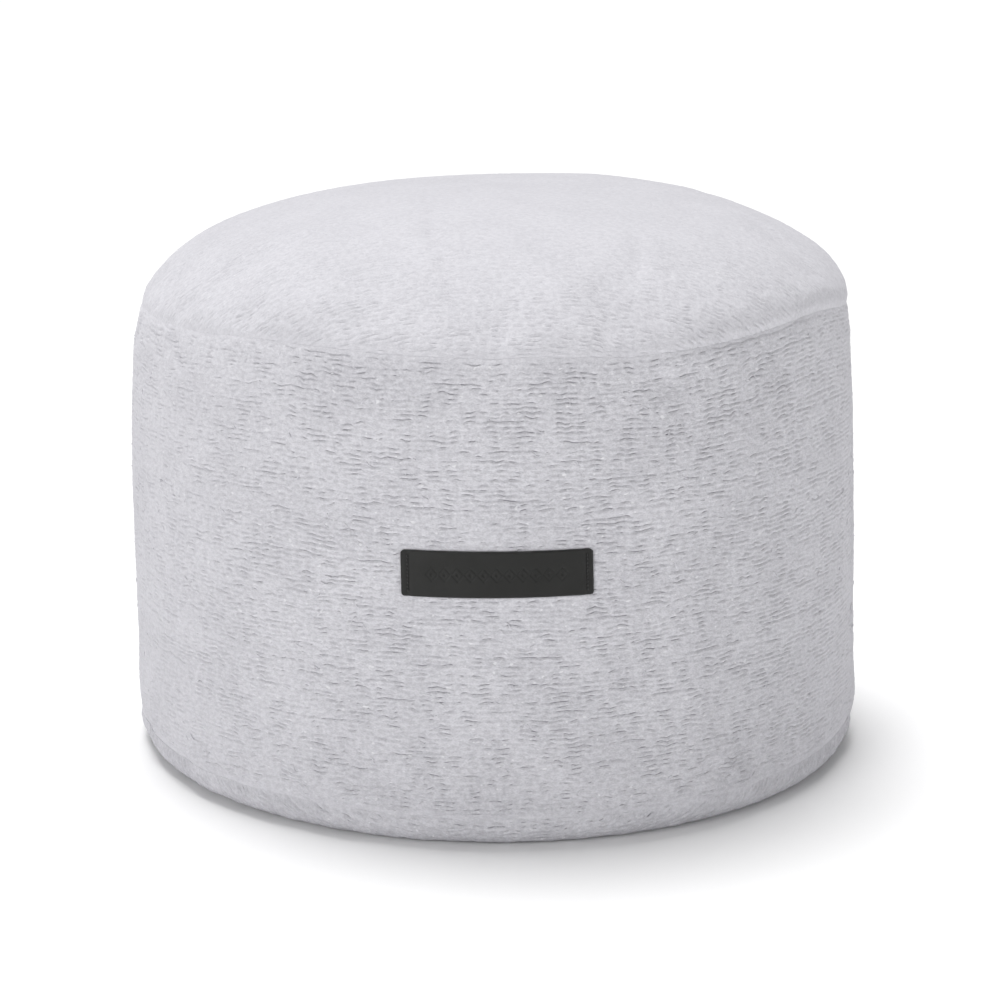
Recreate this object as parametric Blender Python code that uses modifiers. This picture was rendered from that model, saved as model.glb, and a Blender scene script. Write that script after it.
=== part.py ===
"""Round bean bag footstool: a filled drum of bouclé cloth, sewn from three panels, with a leather patch.

Each panel is a filled solid: the cloth that is cut, with its share of the filling behind it. The solids meet
at the sewn seams, a hair apart. The top panel is crowned with a soft shoulder, the side panel is a slightly
barrelled drum that draws in at both seams, and the base panel rounds under to a flat face on the floor.

Metres. +Z is up, the origin is the middle of the floor face, and the patch looks along -Y.
"""

import math

import bmesh
import bpy
import numpy as np

# ------------------------------------------------------------------ driving sizes
FULL_RADIUS = 0.2500        # the drum half way up
HEIGHT = 0.3830             # floor to the middle of the crown
TOP_SEAM_Z = 0.3060
BASE_SEAM_Z = 0.0206
TOP_SEAM_RADIUS = 0.2399
BASE_SEAM_RADIUS = 0.2502
FLOOR_RADIUS = 0.2276       # edge of the flat that rests on the floor
SEAM_GAP = 0.0003           # between two panels, and under the patch

CROWN_SPREAD = 2.804        # how far the flat of the crown reaches out; 2 would be an ellipse
CROWN_SHOULDER = 1.638      # how upright the shoulder starts from the seam; 2 would be an ellipse
BASE_ROUND = 2.354          # the same, for the rounded foot of the drum

# The side's radius at shares of the height between its seams.
#               share  radius
SIDE_BARREL = ((0.00, BASE_SEAM_RADIUS),
               (0.25, 0.2512),
               (0.50, FULL_RADIUS),
               (0.75, 0.2478),
               (1.00, TOP_SEAM_RADIUS))

SEAM_DRAW = 0.0012          # how far a seam's stitches pull the cloth in
SEAM_REACH = 0.0040         # and how far from the seam that pull fades

PATCH_WIDTH = 0.1165        # along the wall
PATCH_HEIGHT = 0.0285
PATCH_THICKNESS = 0.0016
PATCH_CORNER = 0.0026
PATCH_Z = 0.1765
PATCH_AZIMUTH = math.radians(0.55)

# The drum stands a little crooked: over each stretch of height it moves this far along X.
#         from   to     shift
LEANS = ((0.030, 0.220, -0.0028),
         (0.270, 0.350, 0.0065))

SEAM_SWAY = 0.075           # height over which a rise or fall of the top seam fades out

# Where the top seam rides up or down its drum.
#                  azimuth  spread   rise
TOP_SEAM_WAVES = ((-34.0, 15.0, 0.0040),
                  (58.0, 17.0, 0.0100),
                  (22.0, 12.0, -0.0018),
                  (150.0, 30.0, 0.0030),
                  (-125.0, 25.0, -0.0025))

# Where the filling has left the cloth slack or pushed it out.
#          azimuth  height  depth   half width  half height
DENTS = ((25.0, 0.2880, 0.0036, 0.024, 0.012),
         (32.0, 0.2740, -0.0016, 0.018, 0.012),
         (-41.0, 0.2930, -0.0016, 0.024, 0.014),
         (62.0, 0.3380, 0.0030, 0.026, 0.018),
         (112.0, 0.2700, 0.0028, 0.045, 0.030),
         (-100.0, 0.1050, 0.0022, 0.050, 0.040),
         (168.0, 0.1500, 0.0024, 0.060, 0.040),
         (-150.0, 0.2860, 0.0030, 0.034, 0.016),
         (75.0, 0.0900, 0.0018, 0.050, 0.035))

SEGMENTS = 90               # around the drum
CROWN_RINGS = 17
SIDE_RINGS = 20
FOOT_RINGS = 5
PATCH_COLUMNS = 24
PATCH_ROWS = 6

CLOTH_COLOUR = (0.64, 0.62, 0.66, 1.0)
LEATHER_COLOUR = (0.018, 0.018, 0.017, 1.0)
MERGE = 0.00005


# ------------------------------------------------------------------ the settled form
def smooth_step(low, high, value):
    """0 below low, 1 above high, and a smooth S between."""
    share = np.clip((value - low) / (high - low), 0.0, 1.0)
    return share * share * (3.0 - 2.0 * share)


def turn_between(azimuth, centre):
    """Angle from centre to azimuth the short way round, in degrees."""
    return (azimuth - centre + 180.0) % 360.0 - 180.0


def seam_rise(azimuth):
    """How far the top seam rides above its mean height at an azimuth."""
    rise = np.zeros_like(azimuth)
    for centre, spread, height in TOP_SEAM_WAVES:
        rise += height * np.exp(-((turn_between(azimuth, centre) / spread) ** 2))
    return rise


def dent_depth(azimuth, z):
    """How far the cloth is pushed in at a point of the wall or the shoulder."""
    depth = np.zeros_like(z)
    for centre, height, deep, half_width, half_height in DENTS:
        along = np.radians(turn_between(azimuth, centre)) * FULL_RADIUS / half_width
        up = (z - height) / half_height
        depth += deep * np.exp(-(along**2) - up**2)
    return depth


def settle(points):
    """Turned points become the settled form, with its seam's rises, its dents and its lean."""
    x, y, z = points.T
    radius = np.hypot(x, y)
    azimuth = np.degrees(np.arctan2(x, -y))
    reach = radius / FULL_RADIUS

    near_seam = np.exp(-(((z - TOP_SEAM_Z) / SEAM_SWAY) ** 2)) * smooth_step(0.0, 0.05, z)
    lift = seam_rise(azimuth) * near_seam * reach**4
    scale = 1.0 - dent_depth(azimuth, z) * reach**4 / FULL_RADIUS
    lean = sum(shift * smooth_step(low, high, z) for low, high, shift in LEANS)
    return np.stack([x * scale + lean, y * scale, z + lift], axis=1)


def settle_mesh(mesh):
    """Move every point of a mesh to the settled form, and cut its faces into triangles.

    Each face is cut along its shorter diagonal, so that the two sides of a seam are cut alike.
    """
    points = np.empty(len(mesh.vertices) * 3)
    mesh.vertices.foreach_get("co", points)
    mesh.vertices.foreach_set("co", settle(points.reshape(-1, 3)).ravel())
    facets = bmesh.new()
    facets.from_mesh(mesh)
    bmesh.ops.triangulate(facets, faces=facets.faces[:], quad_method="SHORT_EDGE")
    facets.to_mesh(mesh)
    facets.free()


# ------------------------------------------------------------------ profiles
def seam_pull(distance):
    """How far the cloth is drawn in at a distance from a seam."""
    return SEAM_DRAW * np.exp(-((distance / SEAM_REACH) ** 2))


def side_radius(z):
    """The drum's radius at a height: one smooth curve through SIDE_BARREL, less the pull of both seams."""
    share, radius = np.array(SIDE_BARREL).T
    curve = np.polynomial.Polynomial.fit(share, radius, len(share) - 1)
    at = (z - BASE_SEAM_Z) / (TOP_SEAM_Z - BASE_SEAM_Z)
    return curve(at) - seam_pull(TOP_SEAM_Z - z) - seam_pull(z - BASE_SEAM_Z)


def crowded(count, low, high, pull):
    """Count steps from low to high, drawn towards low by a pull above 1."""
    return low + (high - low) * np.linspace(0.0, 1.0, count) ** pull


def crown_profile():
    """From the middle of the crown out to the top seam, and back along the flat inside."""
    turn = crowded(CROWN_RINGS, 0.0, math.pi / 2, 1.25)[::-1]
    edge = TOP_SEAM_Z + SEAM_GAP / 2
    radius = TOP_SEAM_RADIUS * np.cos(turn) ** (2 / CROWN_SPREAD)
    z = edge + (HEIGHT - edge) * np.sin(turn) ** (2 / CROWN_SHOULDER)
    radius -= seam_pull(z - edge)
    radius[0] = 0.0
    outer = list(zip(radius, z))
    return outer + [(radius[-1] * 0.6, edge), (0.0, edge)]


def side_profile():
    """From the flat inside under the crown, down the wall, and back along the flat inside over the base."""
    top = TOP_SEAM_Z - SEAM_GAP / 2
    bottom = BASE_SEAM_Z + SEAM_GAP / 2
    share = 0.5 - 0.5 * np.cos(np.linspace(0.0, math.pi, SIDE_RINGS))
    z = top + (bottom - top) * share
    radius = side_radius(z)
    wall = list(zip(radius, z))
    return [(0.0, top), (radius[0] * 0.6, top)] + wall + [(radius[-1] * 0.6, bottom), (0.0, bottom)]


def foot_profile():
    """From the flat inside out to the base seam, round under, and back along the floor."""
    edge = BASE_SEAM_Z - SEAM_GAP / 2
    turn = np.linspace(0.0, math.pi / 2, FOOT_RINGS)
    radius = FLOOR_RADIUS + (BASE_SEAM_RADIUS - FLOOR_RADIUS) * np.cos(turn) ** (2 / BASE_ROUND)
    z = edge - edge * np.sin(turn) ** (2 / BASE_ROUND)
    radius -= seam_pull(edge - z)
    radius[-1] = FLOOR_RADIUS
    z[-1] = 0.0
    outer = list(zip(radius, z))
    return [(0.0, edge), (radius[0] * 0.6, edge)] + outer + [(FLOOR_RADIUS * 0.6, 0.0), (0.0, 0.0)]


# ------------------------------------------------------------------ scene helpers
def clear_scene():
    """Start from an empty scene."""
    for thing in list(bpy.data.objects):
        bpy.data.objects.remove(thing, do_unlink=True)


def new_collection(name):
    """A collection in the scene."""
    collection = bpy.data.collections.new(name)
    bpy.context.scene.collection.children.link(collection)
    return collection


def new_material(name, colour, roughness, metallic=0.0):
    """A plain principled material."""
    material = bpy.data.materials.new(name)
    material.use_nodes = True
    shader = material.node_tree.nodes["Principled BSDF"]
    shader.inputs["Base Color"].default_value = colour
    shader.inputs["Roughness"].default_value = roughness
    shader.inputs["Metallic"].default_value = metallic
    material.diffuse_color = colour
    return material


def new_object(name, mesh, collection, material):
    """An object of a mesh, in its collection and with its material."""
    thing = bpy.data.objects.new(name, mesh)
    mesh.materials.append(material)
    collection.objects.link(thing)
    return thing


def evaluated_mesh(thing, name):
    """The mesh that an object's modifiers make."""
    depsgraph = bpy.context.evaluated_depsgraph_get()
    depsgraph.update()
    mesh = bpy.data.meshes.new_from_object(thing.evaluated_get(depsgraph))
    mesh.name = name
    return mesh


# ------------------------------------------------------------------ pieces
def turned_panel(name, profile, collection, material):
    """A filled panel: its profile turned about Z, then settled."""
    outline = bpy.data.meshes.new(name + "_profile")
    points = [(radius, 0.0, z) for radius, z in profile]
    outline.from_pydata(points, [(i, i + 1) for i in range(len(points) - 1)], [])
    guide = bpy.data.objects.new(name + "_guide", outline)
    collection.objects.link(guide)

    screw = guide.modifiers.new("turn", "SCREW")
    screw.axis = "Z"
    screw.angle = 2.0 * math.pi
    screw.steps = SEGMENTS
    screw.render_steps = SEGMENTS
    screw.use_merge_vertices = True
    screw.merge_threshold = MERGE

    mesh = evaluated_mesh(guide, name)
    mesh.materials.clear()
    bpy.data.objects.remove(guide, do_unlink=True)
    settle_mesh(mesh)
    mesh.shade_smooth()
    mesh.set_sharp_from_angle(angle=math.radians(50.0))
    return new_object(name, mesh, collection, material)


def front_patch(collection, material):
    """The patch: a flat sheet with rounded corners, laid round the wall and given its thickness."""
    cutting = bmesh.new()
    bmesh.ops.create_grid(cutting, x_segments=PATCH_COLUMNS, y_segments=PATCH_ROWS, size=0.5)
    corners = [vert for vert in cutting.verts if len(vert.link_edges) == 2]
    for vert in cutting.verts:
        vert.co.x *= PATCH_WIDTH
        vert.co.y *= PATCH_HEIGHT
    bmesh.ops.bevel(cutting, geom=corners, offset=PATCH_CORNER, segments=4, affect="VERTICES", profile=0.5)

    for vert in cutting.verts:
        azimuth = PATCH_AZIMUTH + vert.co.x / FULL_RADIUS
        z = PATCH_Z + vert.co.y
        radius = float(side_radius(np.array(z))) + SEAM_GAP
        vert.co = (radius * math.sin(azimuth), -radius * math.cos(azimuth), z)
    mesh = bpy.data.meshes.new("front_patch")
    cutting.to_mesh(mesh)
    cutting.free()
    settle_mesh(mesh)
    patch = new_object("front_patch", mesh, collection, material)

    wall = patch.modifiers.new("thickness", "SOLIDIFY")
    wall.thickness = PATCH_THICKNESS
    wall.offset = 1.0
    edge = patch.modifiers.new("rounded edge", "BEVEL")
    edge.width = 0.0003
    edge.segments = 1
    edge.limit_method = "ANGLE"
    edge.angle_limit = math.radians(50.0)
    mesh.shade_smooth()
    return patch


def main():
    """Build the footstool's four pieces."""
    clear_scene()
    footstool = new_collection("bean_bag_footstool")
    cloth = new_material("boucle_cloth", CLOTH_COLOUR, 0.95)
    leather = new_material("black_leather", LEATHER_COLOUR, 0.55)

    turned_panel("top_panel", crown_profile(), footstool, cloth)
    turned_panel("side_panel", side_profile(), footstool, cloth)
    turned_panel("base_panel", foot_profile(), footstool, cloth)
    front_patch(footstool, leather)


main()
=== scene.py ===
"""Looks of a round bean bag footstool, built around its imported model.

The footstool is a filled drum of bouclé cloth with a crowned top, sewn from a top panel, a side panel and a
base panel, with a small black leather patch in front. Each panel is a ground cloth in the shape that the
filling gives it, and over it lie the cloth's weft yarns, row by row, puffed and pinched as they were woven.

Metres. +Z is up, the origin is the middle of the floor face, and the patch looks along -Y. An azimuth is an
angle about +Z from the patch's side, towards +X.
"""

import logging
import math
from dataclasses import dataclass, field
from enum import Enum

import bpy
import numpy as np
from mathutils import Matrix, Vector


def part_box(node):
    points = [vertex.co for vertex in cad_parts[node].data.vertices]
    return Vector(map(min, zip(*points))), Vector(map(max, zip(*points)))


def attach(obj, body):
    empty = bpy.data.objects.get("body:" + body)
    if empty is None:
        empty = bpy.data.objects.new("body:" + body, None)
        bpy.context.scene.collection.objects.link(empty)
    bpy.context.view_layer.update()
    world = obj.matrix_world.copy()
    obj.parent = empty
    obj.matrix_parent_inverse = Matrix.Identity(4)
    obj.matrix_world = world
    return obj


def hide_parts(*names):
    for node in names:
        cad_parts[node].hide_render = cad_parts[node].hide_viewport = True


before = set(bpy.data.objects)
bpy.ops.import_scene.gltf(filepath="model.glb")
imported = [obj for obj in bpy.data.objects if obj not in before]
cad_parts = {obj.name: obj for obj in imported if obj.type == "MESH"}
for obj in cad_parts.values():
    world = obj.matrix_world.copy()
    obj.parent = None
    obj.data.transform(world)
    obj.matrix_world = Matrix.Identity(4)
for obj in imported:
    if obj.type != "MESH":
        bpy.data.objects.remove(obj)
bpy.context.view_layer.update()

LOG = logging.getLogger("footstool")
MM = 0.001
TAU = 2.0 * math.pi

Array = np.ndarray
Place = tuple[float, float, float]
Tint = tuple[float, float, float, float]
Bells = tuple[Place, ...]
Fold = tuple[float, float, float, float, float, float]


class Slot(Enum):
    """The record's material slots."""

    CLOTH = "cloth"
    LEATHER = "patch_leather"


# ---------------------------------------- small numpy tools
def smooth_step(low: float, high: float, value: Array) -> Array:
    """Rise from 0 at low to 1 at high along a cubic S.

    Args:
        low: Where the rise starts.
        high: Where it ends.
        value: Where it is read.

    Returns:
        The rise at each value.
    """
    share = np.clip((value - low) / (high - low), 0.0, 1.0)
    return share * share * (3.0 - 2.0 * share)


def turn_between(azimuth: Array, centre: float) -> Array:
    """Angle from a centre to each azimuth, the short way round, all in radians."""
    return (azimuth - centre + math.pi) % TAU - math.pi


def bells_at(azimuth: Array, bells: Bells) -> Array:
    """Sum of bells round the drum, each given by its azimuth and spread in degrees and its height."""
    total = np.zeros_like(azimuth)
    for centre, spread, high in bells:
        off = np.degrees(turn_between(azimuth, math.radians(centre)))
        total = total + high * np.exp(-((off / spread) ** 2))
    return total


def value_noise(across: Array, up: Array, cells: tuple[int, int], seed: int) -> Array:
    """Smooth random hills: random heights on a lattice that repeats, joined by cubic S curves both ways.

    Args:
        across: Position in lattice cells along the first side.
        up: Position in lattice cells along the second side.
        cells: Cells before the lattice repeats, along each side.
        seed: Which random lattice.

    Returns:
        Heights from -1 to 1.
    """
    lattice = np.random.default_rng(seed).uniform(-1.0, 1.0, cells)
    across, up = np.broadcast_arrays(across, up)
    i, j = np.floor(across).astype(int), np.floor(up).astype(int)
    u, v = across - i, up - j
    u, v = u * u * (3.0 - 2.0 * u), v * v * (3.0 - 2.0 * v)
    i0, i1, j0, j1 = i % cells[0], (i + 1) % cells[0], j % cells[1], (j + 1) % cells[1]
    low = lattice[i0, j0] * (1.0 - u) + lattice[i1, j0] * u
    high = lattice[i0, j1] * (1.0 - u) + lattice[i1, j1] * u
    return low * (1.0 - v) + high * v


def unit(vectors: Array) -> Array:
    """Each vector at length 1."""
    return vectors / np.maximum(np.linalg.norm(vectors, axis=-1, keepdims=True), 1e-12)


# ---------------------------------------- mesh tools
def quads_between(first: Array, second: Array, closed: bool) -> Array:
    """Quads between two lines of vertex numbers, closed into a ring or left open."""
    after_first, after_second = np.roll(first, -1), np.roll(second, -1)
    quads = np.stack([first, after_first, after_second, second], axis=-1)
    return quads if closed else quads[:-1]


def new_mesh(name: str, points: Array, faces: list[Array]) -> bpy.types.Mesh:
    """Make a mesh from points and blocks of faces, each block an array with a row for each face.

    Args:
        name: The mesh's name.
        points: One row for each vertex.
        faces: Blocks of triangles, quads or larger faces, as vertex numbers.

    Returns:
        The mesh, with smooth faces.
    """
    mesh = bpy.data.meshes.new(name)
    blocks = [np.atleast_2d(block) for block in faces if len(block)]
    corners = np.concatenate([block.ravel() for block in blocks]).astype(np.int32)
    sizes = np.concatenate([np.full(len(block), block.shape[1]) for block in blocks])
    starts = np.concatenate([[0], np.cumsum(sizes)[:-1]]).astype(np.int32)
    mesh.vertices.add(len(points))
    mesh.vertices.foreach_set("co", np.ascontiguousarray(points, dtype=np.float32).ravel())
    mesh.loops.add(len(corners))
    mesh.loops.foreach_set("vertex_index", corners)
    mesh.polygons.add(len(sizes))
    mesh.polygons.foreach_set("loop_start", starts)
    mesh.polygons.foreach_set("use_smooth", np.ones(len(sizes), dtype=bool))
    mesh.update(calc_edges=True)
    mesh.validate()
    return mesh


def set_point_uv(mesh: bpy.types.Mesh, name: str, uv: Array) -> None:
    """Give a mesh a UV map from one place for each vertex."""
    layer = mesh.uv_layers.new(name=name)
    index = np.empty(len(mesh.loops), dtype=np.int32)
    mesh.loops.foreach_get("vertex_index", index)
    layer.data.foreach_set("uv", np.ascontiguousarray(uv[index], dtype=np.float32).ravel())


def set_corner_uv(mesh: bpy.types.Mesh, name: str, uv: Array) -> None:
    """Give a mesh a UV map from one place for each face corner."""
    layer = mesh.uv_layers.new(name=name)
    layer.data.foreach_set("uv", np.ascontiguousarray(uv, dtype=np.float32).ravel())


def set_mask(mesh: bpy.types.Mesh, name: str, values: Array) -> None:
    """Give a mesh a named value for each vertex."""
    attribute = mesh.attributes.new(name, "FLOAT", "POINT")
    attribute.data.foreach_set("value", np.ascontiguousarray(values, dtype=np.float32).ravel())


def closed_tube(number: Array, outward: bool) -> list[Array]:
    """Faces of a tube of rings with a fan over each end, about the two points numbered after the rings.

    Args:
        number: Vertex numbers of the rings, a row for each.
        outward: False turns every face over.
    """
    faces = []
    for k in range(len(number) - 1):
        first, second = (number[k], number[k + 1]) if outward else (number[k + 1], number[k])
        faces.append(quads_between(first, second, True))
    for ring, middle, last in ((number[0], number.size, False), (number[-1], number.size + 1, True)):
        turned = np.roll(ring, -1)
        pair = (ring, turned) if last == outward else (turned, ring)
        faces.append(np.stack([*pair, np.full(len(ring), middle)], axis=-1))
    return faces


def add_piece(
    mesh: bpy.types.Mesh, material: bpy.types.Material, slot: Slot, *replaced: str
) -> bpy.types.Object:
    """Put a mesh in the scene as a piece of the footstool.

    Args:
        mesh: The piece's mesh, in place.
        material: Its finish.
        slot: The record's slot that the finish belongs to; not used.
        replaced: The solids that the piece stands for.

    Returns:
        The piece, riding on the footstool's only body.
    """
    mesh.materials.append(material)
    piece = bpy.data.objects.new(mesh.name, mesh)
    bpy.context.scene.collection.objects.link(piece)
    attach(piece, "root")
    if replaced:
        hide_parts(*replaced)
    triangles = sum(len(p.vertices) - 2 for p in mesh.polygons)
    LOG.info("%s: %d triangles", piece.name, triangles)
    return piece


# ---------------------------------------- shader tools
class Nodes:
    """Short hand for building a node tree."""

    def __init__(self, tree: bpy.types.NodeTree) -> None:
        """Take the tree that is built."""
        self.tree = tree

    def add(self, kind: str, **settings: object) -> bpy.types.Node:
        """Add a node of a kind, with its properties set by name."""
        node = self.tree.nodes.new(kind)
        for name, value in settings.items():
            setattr(node, name, value)
        return node

    def link(self, source: bpy.types.NodeSocket, target: bpy.types.NodeSocket) -> None:
        """Link two sockets."""
        self.tree.links.new(source, target)

    def feed(self, target: bpy.types.NodeSocket, value: object) -> None:
        """Link a socket to a target, or set the target to a plain value."""
        if isinstance(value, bpy.types.NodeSocket):
            self.link(value, target)
        else:
            target.default_value = value

    def math(self, operation: str, a: object, b: object = 0.0, c: object = 0.0) -> bpy.types.NodeSocket:
        """Work out a sum on up to three values."""
        node = self.add("ShaderNodeMath", operation=operation)
        for socket, value in zip(node.inputs, (a, b, c)):
            self.feed(socket, value)
        return node.outputs[0]

    def remap(
        self, value: object, low: float, high: float, to_low: float, to_high: float
    ) -> bpy.types.NodeSocket:
        """Carry a value from one range to another along a smooth S, held at both ends."""
        node = self.add("ShaderNodeMapRange", interpolation_type="SMOOTHSTEP")
        names = ("From Min", "From Max", "To Min", "To Max")
        for name, number in zip(names, (low, high, to_low, to_high)):
            node.inputs[name].default_value = number
        self.feed(node.inputs["Value"], value)
        return node.outputs["Result"]

    def mix(self, share: object, a: object, b: object) -> bpy.types.NodeSocket:
        """Mix two colours."""
        node = self.add("ShaderNodeMix", data_type="RGBA")
        self.feed(node.inputs[0], share)
        self.feed(node.inputs[6], a)
        self.feed(node.inputs[7], b)
        return node.outputs[2]

    def noise(
        self, place: object, scale: float, detail: float = 2.0, rough: float = 0.5
    ) -> bpy.types.NodeSocket:
        """Blender's noise at a place, as a value about one half."""
        node = self.add("ShaderNodeTexNoise", noise_dimensions="3D")
        self.feed(node.inputs["Vector"], place)
        node.inputs["Scale"].default_value = scale
        node.inputs["Detail"].default_value = detail
        node.inputs["Roughness"].default_value = rough
        return node.outputs[0]

    def bump(self, shader: bpy.types.Node, height: object, strength: float, distance: float) -> None:
        """Give a shader the relief of a height."""
        node = self.add("ShaderNodeBump")
        node.inputs["Strength"].default_value = strength
        node.inputs["Distance"].default_value = distance
        self.feed(node.inputs["Height"], height)
        self.link(node.outputs["Normal"], shader.inputs["Normal"])

    def stretched(self, place: object, scale: Place) -> bpy.types.NodeSocket:
        """A place with each axis scaled."""
        node = self.add("ShaderNodeMapping", vector_type="POINT")
        self.feed(node.inputs["Vector"], place)
        node.inputs["Scale"].default_value = scale
        return node.outputs[0]


def new_material(name: str) -> tuple[bpy.types.Material, Nodes, bpy.types.Node]:
    """Start a material: the material, the helper that builds its nodes, and its shader."""
    material = bpy.data.materials.new(name)
    material.use_nodes = True
    return material, Nodes(material.node_tree), material.node_tree.nodes["Principled BSDF"]


def new_group(
    name: str, inputs: dict[str, str], outputs: dict[str, str]
) -> tuple[bpy.types.NodeTree, Nodes]:
    """Start a shader node group with named sockets.

    Args:
        name: The group's name.
        inputs: Kind of each input socket, by name.
        outputs: Kind of each output socket, by name.

    Returns:
        The group's tree and the helper that builds it.
    """
    tree = bpy.data.node_groups.new(name, "ShaderNodeTree")
    for socket, kind in inputs.items():
        tree.interface.new_socket(name=socket, in_out="INPUT", socket_type=kind)
    for socket, kind in outputs.items():
        tree.interface.new_socket(name=socket, in_out="OUTPUT", socket_type=kind)
    return tree, Nodes(tree)


# ---------------------------------------- finishes
@dataclass(frozen=True)
class YarnTone:
    """Colour of the bouclé yarn: an uneven off-white with pale flecks, and painted shade in the open gaps.
    """

    pale: Tint = (0.630, 0.624, 0.658, 1.0)
    dull: Tint = (0.445, 0.440, 0.470, 1.0)
    # painted shade: the dark colour mixed into the open gaps between rows
    deep: Tint = (0.215, 0.212, 0.232, 1.0)
    fleck: Tint = (0.720, 0.716, 0.740, 1.0)

    def group(self) -> bpy.types.NodeTree:
        """Build the group: Place in metres, Crest and Loft from 0 to 1 give a Colour."""
        tree, n = new_group(
            "yarn_tone",
            {"Place": "NodeSocketVector", "Crest": "NodeSocketFloat", "Loft": "NodeSocketFloat"},
            {"Colour": "NodeSocketColor"},
        )
        inward = n.add("NodeGroupInput")
        outward = n.add("NodeGroupOutput")
        place, crest, loft = inward.outputs[0], inward.outputs[1], inward.outputs[2]
        along = n.stretched(place, (0.8, 1.2, 1.0))
        drift = n.remap(n.noise(place, 24.0, 2.0), 0.35, 0.65, 0.0, 1.0)
        mottle = n.remap(n.noise(along, 330.0, 2.0), 0.36, 0.64, 0.0, 1.0)
        speck = n.remap(n.noise(along, 900.0, 1.0), 0.35, 0.65, 0.0, 1.0)
        fine = n.math("MULTIPLY_ADD", speck, 0.35, n.math("MULTIPLY", drift, 0.2))
        share = n.math("MULTIPLY_ADD", mottle, 0.45, fine)
        # the mottle is the yarn's own uneven tone, but its darker share grows with the loft, as painted
        # shade where the relief is full, so the cloth is paler where the relief is smooth
        uneven = n.math("MULTIPLY", share, n.math("MULTIPLY_ADD", loft, 0.7, 0.3))
        body = n.mix(uneven, self.pale, self.dull)
        # painted shade: the deep colour is mixed in where the crest is low, in the open gaps, with ragged
        # edges from the mottle
        gap_shade_mask = n.math("MULTIPLY_ADD", mottle, 0.40, crest)
        gap_shaded = n.mix(n.remap(gap_shade_mask, 0.15, 0.80, 0.85, 0.0), body, self.deep)
        spots = n.remap(n.noise(along, 260.0, 1.0), 0.68, 0.76, 0.0, 0.8)
        flecked = n.mix(n.math("MULTIPLY", spots, loft), gap_shaded, self.fleck)
        n.link(flecked, outward.inputs["Colour"])
        return tree


@dataclass(frozen=True)
class FibreRelief:
    """Fine relief of the yarn's curled fibres."""

    def group(self) -> bpy.types.NodeTree:
        """Build the group: Place in metres and Loft from 0 to 1 give a Height from 0 to 1."""
        tree, n = new_group(
            "fibre_relief",
            {"Place": "NodeSocketVector", "Loft": "NodeSocketFloat"},
            {"Height": "NodeSocketFloat"},
        )
        inward = n.add("NodeGroupInput")
        outward = n.add("NodeGroupOutput")
        along = n.stretched(inward.outputs[0], (0.6, 1.2, 1.0))
        curls = n.noise(along, 800.0, 2.0, 0.6)
        loops = n.noise(along, 380.0, 2.0, 0.5)
        height = n.math("MULTIPLY_ADD", loops, 0.65, n.math("MULTIPLY", curls, 0.35))
        share = n.math("MULTIPLY_ADD", inward.outputs[1], 0.8, 0.2)
        n.link(n.math("MULTIPLY", height, share), outward.inputs["Height"])
        return tree


@dataclass(frozen=True)
class BoucleFinish:
    """The bouclé cloth: matt yarn with a soft sheen."""

    name: str = "boucle_yarn"
    roughness: float = 0.94
    sheen: float = 0.15
    fibre_strength: float = 0.6
    fibre_depth: float = 0.0015

    def material(self, tone: bpy.types.NodeTree, relief: bpy.types.NodeTree) -> bpy.types.Material:
        """Make the material from the shared tone and relief groups."""
        material, n, shader = new_material(self.name)
        shader.inputs["Roughness"].default_value = self.roughness
        shader.inputs["Specular IOR Level"].default_value = 0.15
        shader.inputs["Sheen Weight"].default_value = self.sheen
        shader.inputs["Sheen Roughness"].default_value = 0.6
        shader.inputs["Sheen Tint"].default_value = (0.96, 0.95, 1.0, 1.0)
        place = n.add("ShaderNodeUVMap", uv_map="cloth").outputs[0]
        crest = n.add("ShaderNodeAttribute", attribute_name="crest").outputs["Fac"]
        loft = n.add("ShaderNodeAttribute", attribute_name="loft").outputs["Fac"]
        colour = n.add("ShaderNodeGroup", node_tree=tone)
        for socket, value in zip(colour.inputs, (place, crest, loft)):
            n.link(value, socket)
        n.link(colour.outputs["Colour"], shader.inputs["Base Color"])
        height = n.add("ShaderNodeGroup", node_tree=relief)
        n.link(place, height.inputs["Place"])
        n.link(loft, height.inputs["Loft"])
        n.bump(shader, height.outputs["Height"], self.fibre_strength, self.fibre_depth)
        return material


@dataclass(frozen=True)
class LeatherFinish:
    """Black fine-grained imitation leather, semi-matt, a little worn to grey along its edges."""

    name: str = "black_leather"
    body: Tint = (0.0105, 0.0106, 0.0098, 1.0)
    worn: Tint = (0.045, 0.046, 0.045, 1.0)
    grain_strength: float = 0.35
    grain_depth: float = 0.00012

    def material(self) -> bpy.types.Material:
        """Make the material: cell grain and fine pores in its relief, dust and wear in its colour."""
        material, n, shader = new_material(self.name)
        shader.inputs["Specular IOR Level"].default_value = 0.30
        place = n.add("ShaderNodeUVMap", uv_map="cloth").outputs[0]
        cells = n.add("ShaderNodeTexVoronoi", feature="DISTANCE_TO_EDGE")
        cells.inputs["Scale"].default_value = 1500.0
        warp = n.noise(place, 700.0, 2.0)
        moved = n.add("ShaderNodeVectorMath", operation="MULTIPLY_ADD")
        n.link(warp, moved.inputs[0])
        moved.inputs[1].default_value = (0.0006, 0.0006, 0.0)
        n.link(place, moved.inputs[2])
        n.link(moved.outputs[0], cells.inputs["Vector"])
        grain = n.remap(cells.outputs["Distance"], 0.0, 0.22, 0.0, 1.0)
        clouds = n.remap(n.noise(place, 60.0, 3.0), 0.35, 0.7, 0.0, 1.0)
        edge = n.add("ShaderNodeAttribute", attribute_name="edge").outputs["Fac"]
        wear = n.math("MULTIPLY", n.remap(edge, 0.2, 1.0, 0.0, 0.6), n.remap(clouds, 0.2, 0.9, 0.3, 1.0))
        n.link(n.mix(wear, self.body, self.worn), shader.inputs["Base Color"])
        n.link(n.math("MULTIPLY_ADD", clouds, 0.10, 0.46), shader.inputs["Roughness"])
        n.bump(shader, grain, self.grain_strength, self.grain_depth)
        return material


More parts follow.
